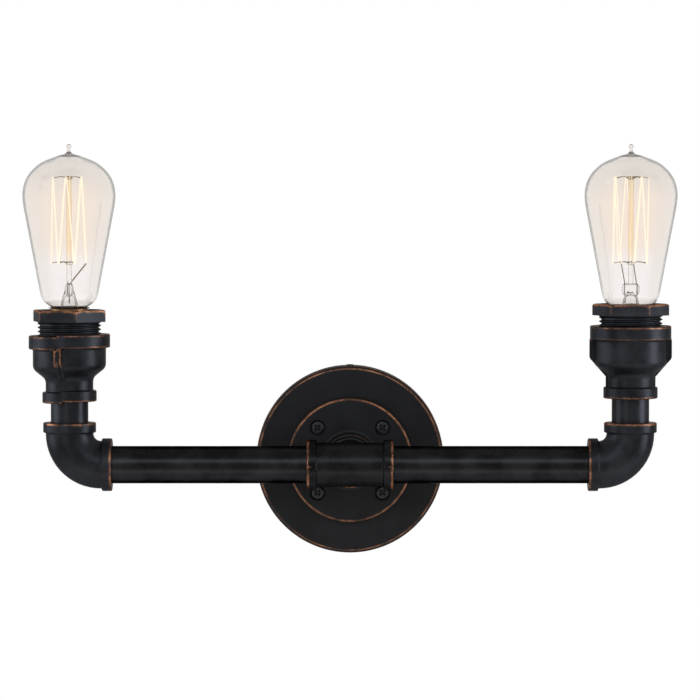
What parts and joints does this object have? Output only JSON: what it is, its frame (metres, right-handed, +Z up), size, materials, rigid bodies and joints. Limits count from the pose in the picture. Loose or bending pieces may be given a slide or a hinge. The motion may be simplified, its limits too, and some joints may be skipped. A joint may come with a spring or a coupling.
{
  "type": "vanity light",
  "caption": "Wall light of dark bronze pipe fittings: round plate, tee and level arms, each ending in an elbow, reducer and hexagon bushing with an upright clear filament lamp.",
  "frame": {"origin": "middle of the wall plate's open back, on the wall", "axes": "+Z up, +X to the right seen from the room, +Y into the wall"},
  "size_m": [0.465, 0.1058, 0.2964],
  "materials": {
    "dark_casting": "oil-rubbed bronze over cast iron, rough, worn to copper at the edges",
    "dark_pipe": "oil-rubbed bronze, satin",
    "dark_plate": "oil-rubbed bronze, satin, worn to copper at the rim",
    "dark_screw": "oil-rubbed bronze, satin",
    "zinc": "zinc plated",
    "green_screw": "green enamel",
    "copper": "bare copper",
    "connector": "moulded",
    "porcelain": "glazed",
    "brass": "rolled",
    "black_wire": "insulated",
    "white_wire": "insulated",
    "solder": "soldered",
    "black_glass": "glassy",
    "lamp_brass": "rolled",
    "lamp_glass": "clear blown glass",
    "stem_glass": "clear glass rod",
    "support_wire": "drawn wire",
    "filament": "glowing"
  },
  "bodies": {
    "fixture": {"canopy": "dark_plate", "mounting_strap": "zinc", "canopy_side_screws": "dark_screw", "ground_screw": "green_screw", "ground_wire": "copper", "wire_connectors": "connector", "floor_flange": "dark_casting", "flange_screws": "dark_screw", "flange_nuts": "zinc", "close_nipple": "dark_pipe", "tee": "dark_casting", "left_arm_pipe": "dark_pipe", "left_elbow": "dark_casting", "left_riser": "dark_pipe", "left_reducer": "dark_casting", "left_bushing": "dark_casting", "left_socket_bracket": "zinc", "left_lamp_pipe": "zinc", "left_lamp_pipe_nut": "zinc", "left_socket_body": "porcelain", "left_socket_shell": "brass", "left_socket_contact": "brass", "left_hot_wire": "black_wire", "left_neutral_wire": "white_wire", "right_arm_pipe": "dark_pipe", "right_elbow": "dark_casting", "right_riser": "dark_pipe", "right_reducer": "dark_casting", "right_bushing": "dark_casting", "right_socket_bracket": "zinc", "right_lamp_pipe": "zinc", "right_lamp_pipe_nut": "zinc", "right_socket_body": "porcelain", "right_socket_shell": "brass", "right_socket_contact": "brass", "right_hot_wire": "black_wire", "right_neutral_wire": "white_wire"},
    "left_lamp_tip": {"left_lamp_contact": "solder"},
    "left_lamp": {"left_lamp_insulator": "black_glass", "left_lamp_base": "lamp_brass", "left_lamp_glass": "lamp_glass", "left_lamp_stem": "stem_glass", "left_lamp_supports": "support_wire", "left_lamp_leads": "support_wire", "left_lamp_filament": "filament"},
    "right_lamp_tip": {"right_lamp_contact": "solder"},
    "right_lamp": {"right_lamp_insulator": "black_glass", "right_lamp_base": "lamp_brass", "right_lamp_glass": "lamp_glass", "right_lamp_stem": "stem_glass", "right_lamp_supports": "support_wire", "right_lamp_leads": "support_wire", "right_lamp_filament": "filament"}
  },
  "joints": [
    {"name": "left_lamp_rise", "type": "slide", "parent": "fixture", "child": "left_lamp_tip", "axis": [0, 0, 1], "range_m": [0, 0.02903]},
    {"name": "left_lamp_turn", "type": "hinge", "parent": "left_lamp_tip", "child": "left_lamp", "pos_m": [-0.1995, -0.0728, 0.086], "axis": [0, 0, 1], "range_deg": [0, 2880]},
    {"name": "right_lamp_rise", "type": "slide", "parent": "fixture", "child": "right_lamp_tip", "axis": [0, 0, 1], "range_m": [0, 0.02903]},
    {"name": "right_lamp_turn", "type": "hinge", "parent": "right_lamp_tip", "child": "right_lamp", "pos_m": [0.1995, -0.0728, 0.086], "axis": [0, 0, 1], "range_deg": [0, 2880]}
  ],
  "couplings": [
    {"joint": "left_lamp_rise", "follows": "left_lamp_turn", "m_per_rad": 0.00057751},
    {"joint": "right_lamp_rise", "follows": "right_lamp_turn", "m_per_rad": 0.00057751}
  ]
}
